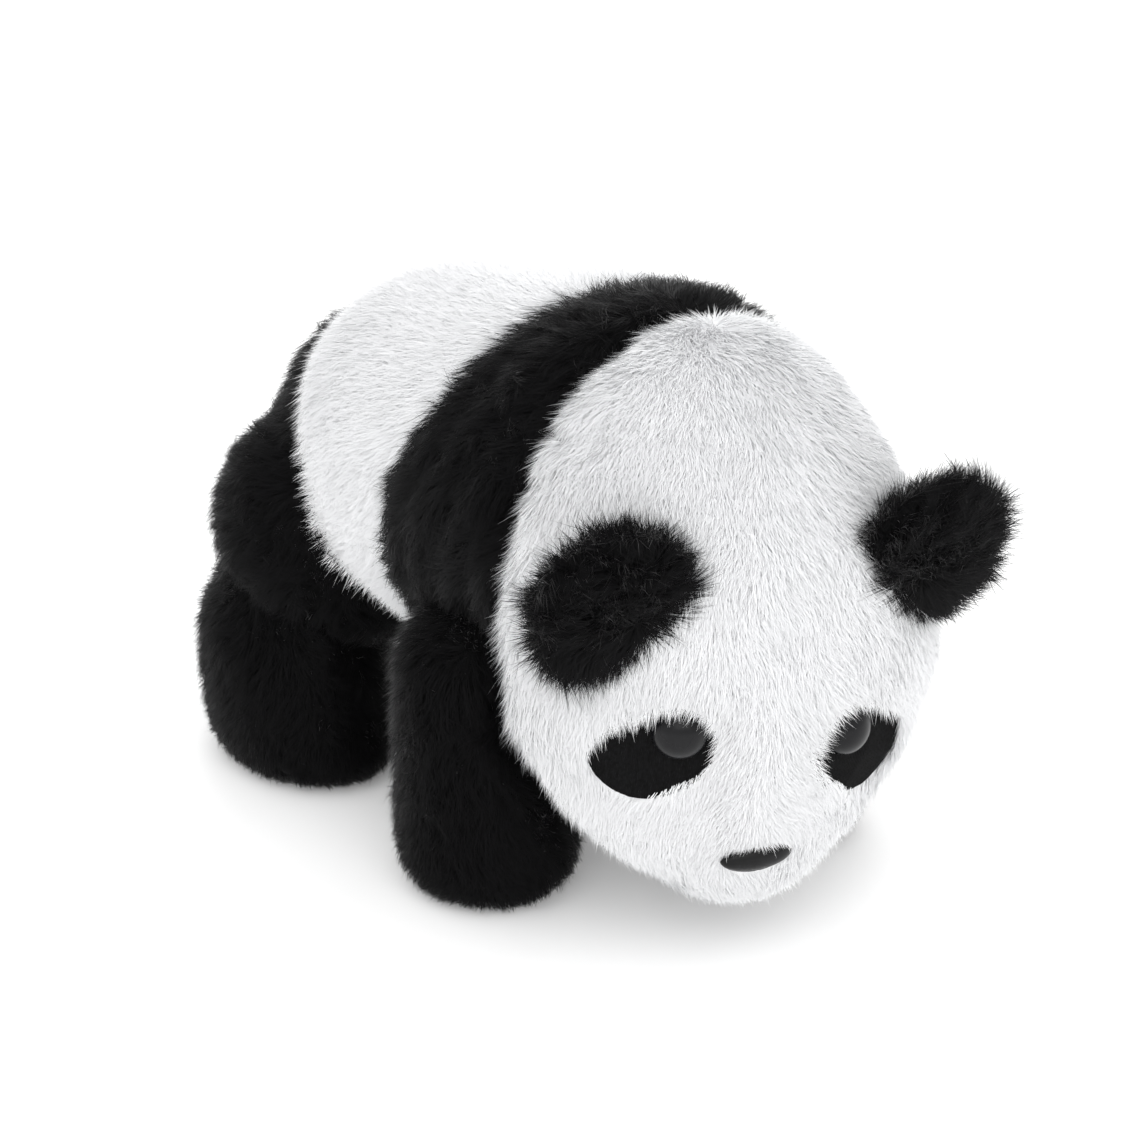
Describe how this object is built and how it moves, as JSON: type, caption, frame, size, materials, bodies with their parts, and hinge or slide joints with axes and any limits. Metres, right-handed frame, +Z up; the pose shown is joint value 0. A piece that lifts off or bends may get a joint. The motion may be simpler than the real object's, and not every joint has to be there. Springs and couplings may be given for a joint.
{
  "type": "plush panda",
  "caption": "Standing plush panda toy with a lowered head, fur skins over fibre stuffing, plastic eyes and nose, and soft sprung legs, head, ears and tail.",
  "frame": {"origin": "on the floor, under the middle of the toy's bounding box", "axes": "+Z up, -Y the way the toy faces, +X the toy's own left side"},
  "size_m": [0.178, 0.2948, 0.1988],
  "materials": {
    "white_fur": "white plush pile, about 8 mm long",
    "black_fur": "black plush pile, about 8 mm long",
    "felt": "flat black felt",
    "gloss_black": "polished black plastic",
    "washer_plastic": "moulded white plastic",
    "fibre": "polyester fibre filling"
  },
  "bodies": {
    "torso": {"torso_stuffing": "fibre", "saddle_skin": "white_fur", "shoulder_band_skin": "black_fur", "haunch_skin_right": "black_fur", "haunch_skin_left": "black_fur"},
    "head": {"head_skin": "white_fur", "head_stuffing": "fibre", "eye_patch_right": "felt", "eye_patch_left": "felt", "eye_right": "gloss_black", "eye_left": "gloss_black", "eye_right_washer": "washer_plastic", "eye_left_washer": "washer_plastic", "nose": "gloss_black", "nose_washer": "washer_plastic"},
    "ear_right": {"ear_front_right": "black_fur", "ear_back_right": "black_fur"},
    "ear_left": {"ear_front_left": "black_fur", "ear_back_left": "black_fur"},
    "foreleg_right": {"foreleg_right_skin": "black_fur", "foreleg_right_sole": "black_fur", "foreleg_right_stuffing": "fibre"},
    "foreleg_left": {"foreleg_left_skin": "black_fur", "foreleg_left_sole": "black_fur", "foreleg_left_stuffing": "fibre"},
    "hindleg_right": {"hindleg_right_skin": "black_fur", "hindleg_right_sole": "black_fur", "hindleg_right_stuffing": "fibre"},
    "hindleg_left": {"hindleg_left_skin": "black_fur", "hindleg_left_sole": "black_fur", "hindleg_left_stuffing": "fibre"},
    "tail": {"tail_skin": "white_fur", "tail_stuffing": "fibre"}
  },
  "joints": [
    {"name": "neck_nod", "type": "hinge", "parent": "torso", "child": "head", "pos_m": [0, -0.04059, 0.13], "axis": [1, 0, 0], "range_deg": [-8, 8], "stiffness_Nm_per_rad": 2.5},
    {"name": "ear_right_fold", "type": "hinge", "parent": "head", "child": "ear_right", "pos_m": [-0.05341, -0.11544, 0.12452], "axis": [0.5409, -0.3667, 0.757], "range_deg": [-25, 35], "stiffness_Nm_per_rad": 0.03},
    {"name": "ear_left_fold", "type": "hinge", "parent": "head", "child": "ear_left", "pos_m": [0.0237, -0.13475, 0.1263], "axis": [0.6497, 0.0698, -0.757], "range_deg": [-25, 35], "stiffness_Nm_per_rad": 0.03},
    {"name": "foreleg_right_swing", "type": "hinge", "parent": "torso", "child": "foreleg_right", "pos_m": [-0.052, -0.02659, 0.076], "axis": [1, 0, 0], "range_deg": [-10, 10], "stiffness_Nm_per_rad": 2.5},
    {"name": "foreleg_left_swing", "type": "hinge", "parent": "torso", "child": "foreleg_left", "pos_m": [0.052, -0.04459, 0.076], "axis": [1, 0, 0], "range_deg": [-10, 10], "stiffness_Nm_per_rad": 2.5},
    {"name": "hindleg_right_swing", "type": "hinge", "parent": "torso", "child": "hindleg_right", "pos_m": [-0.057, 0.08941, 0.072], "axis": [1, 0, 0], "range_deg": [-10, 10], "stiffness_Nm_per_rad": 2.5},
    {"name": "hindleg_left_swing", "type": "hinge", "parent": "torso", "child": "hindleg_left", "pos_m": [0.057, 0.08941, 0.072], "axis": [1, 0, 0], "range_deg": [-10, 10], "stiffness_Nm_per_rad": 2.5},
    {"name": "tail_lift", "type": "hinge", "parent": "torso", "child": "tail", "pos_m": [0, 0.12741, 0.122], "axis": [1, 0, 0], "range_deg": [-20, 25], "stiffness_Nm_per_rad": 0.03}
  ]
}
